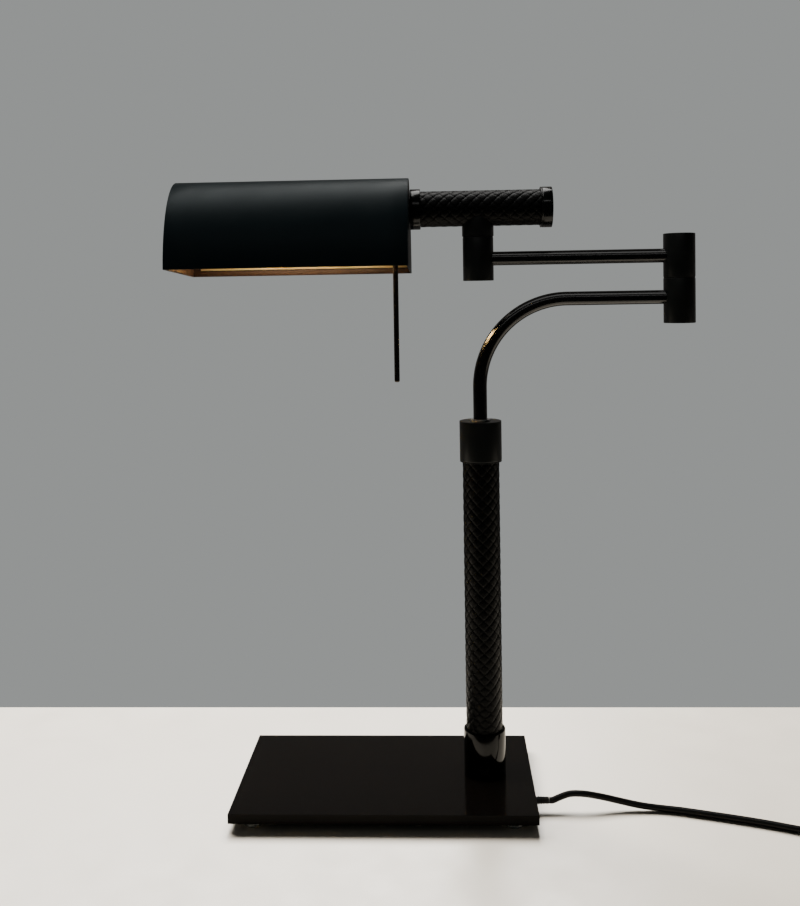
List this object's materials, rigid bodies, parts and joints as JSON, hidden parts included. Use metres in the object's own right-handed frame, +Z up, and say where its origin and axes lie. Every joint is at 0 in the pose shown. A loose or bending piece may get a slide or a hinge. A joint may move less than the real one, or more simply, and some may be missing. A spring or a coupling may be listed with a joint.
{
  "type": "swing arm desk lamp",
  "caption": "Black desk lamp: flat rectangular base, leather-wrapped post, folding swing arm, and a trough-shaped metal shade that tilts on its handle, with a pull-rod switch.",
  "frame": {"origin": "on the table under the middle of the lamp's own width and depth, cord left out", "axes": "+X from the shade towards the elbow, along the base's long side; +Y to the back; +Z up"},
  "size_m": [0.6067, 0.1667, 0.535],
  "materials": {
    "gloss_black_metal": "gloss black lacquer",
    "satin_black_metal": "satin black",
    "shade_paint": "fine satin black powder coat",
    "black_leather": "plaited black leather strips, polished",
    "gold_reflector": "satin gold inside of the shade",
    "steel": "plain steel",
    "black_nickel": "black nickel plate",
    "black_plastic": "moulded black",
    "clear_rubber": "clear soft bumper",
    "frosted_glass": "frosted, lit warm white",
    "black_cord": "smooth black sheath"
  },
  "bodies": {
    "base": {"base_plate": "gloss_black_metal", "bottom_cover": "satin_black_metal", "foot_front_left": "clear_rubber", "foot_front_right": "clear_rubber", "foot_back_left": "clear_rubber", "foot_back_right": "clear_rubber", "cover_screw_front_left": "steel", "cover_screw_front_right": "steel", "cover_screw_back_left": "steel", "cover_screw_back_right": "steel", "tie_tube": "steel", "tie_washer": "steel", "tie_nut": "steel", "tie_plug": "steel", "post_tube": "steel", "post_leather": "black_leather", "bottom_collar": "gloss_black_metal", "top_collar": "satin_black_metal", "swivel_bush": "steel", "cord_strain_relief": "black_plastic", "base_lead": "black_cord", "flex_cord": "black_cord", "cord_coil": "black_cord", "cord_tail": "black_cord", "plug_body": "black_plastic", "plug_pin_left": "steel", "plug_pin_right": "steel"},
    "lower_arm": {"gooseneck_tube": "gloss_black_metal", "gooseneck_retainer": "steel", "lower_arm_lead": "black_cord", "elbow_lower_knuckle": "satin_black_metal"},
    "upper_arm": {"elbow_upper_knuckle": "satin_black_metal", "elbow_pivot_screw": "steel", "elbow_washer": "black_plastic", "upper_arm_tube": "gloss_black_metal", "upper_arm_lead": "black_cord", "head_lower_knuckle": "satin_black_metal"},
    "handle": {"head_saddle": "satin_black_metal", "head_washer": "black_plastic", "head_pivot_screw": "steel", "handle_tube": "steel", "handle_leather": "black_leather", "handle_inner_ring": "satin_black_metal", "handle_end_cap": "satin_black_metal"},
    "shade": {"shade_shell": "shade_paint", "shade_liner": "gold_reflector", "shade_end_plate_left": "shade_paint", "shade_end_plate_right": "shade_paint", "tilt_shaft": "steel", "tilt_washer": "black_plastic", "tilt_spring_washer": "steel", "tilt_nut": "steel", "shade_lead": "black_cord", "lamp_holder": "black_plastic", "bulb_cap": "steel", "bulb_glass": "frosted_glass", "switch_bracket": "steel", "pull_switch_body": "black_plastic"},
    "pull_rod": {"pull_rod": "black_nickel"}
  },
  "joints": [
    {"name": "post_swivel", "type": "hinge", "parent": "base", "child": "lower_arm", "pos_m": [0.03785, 0, 0.3241], "axis": [0, 0, 1], "range_deg": [-170, 170]},
    {"name": "elbow_swivel", "type": "hinge", "parent": "lower_arm", "child": "upper_arm", "pos_m": [0.20985, 0, 0.4456], "axis": [0, 0, 1], "range_deg": [-165, 165]},
    {"name": "head_swivel", "type": "hinge", "parent": "upper_arm", "child": "handle", "pos_m": [0.03785, 0, 0.4834], "axis": [0, 0, 1], "range_deg": [-120, 120]},
    {"name": "shade_tilt", "type": "hinge", "parent": "handle", "child": "shade", "pos_m": [-0.02015, 0, 0.508], "axis": [1, 0, 0], "range_deg": [-75, 75]},
    {"name": "pull_switch", "type": "slide", "parent": "shade", "child": "pull_rod", "axis": [0, -0.0471, -0.9989], "range_m": [0, 0.006], "stiffness_N_per_m": 500, "springref_m": -0.004}
  ]
}
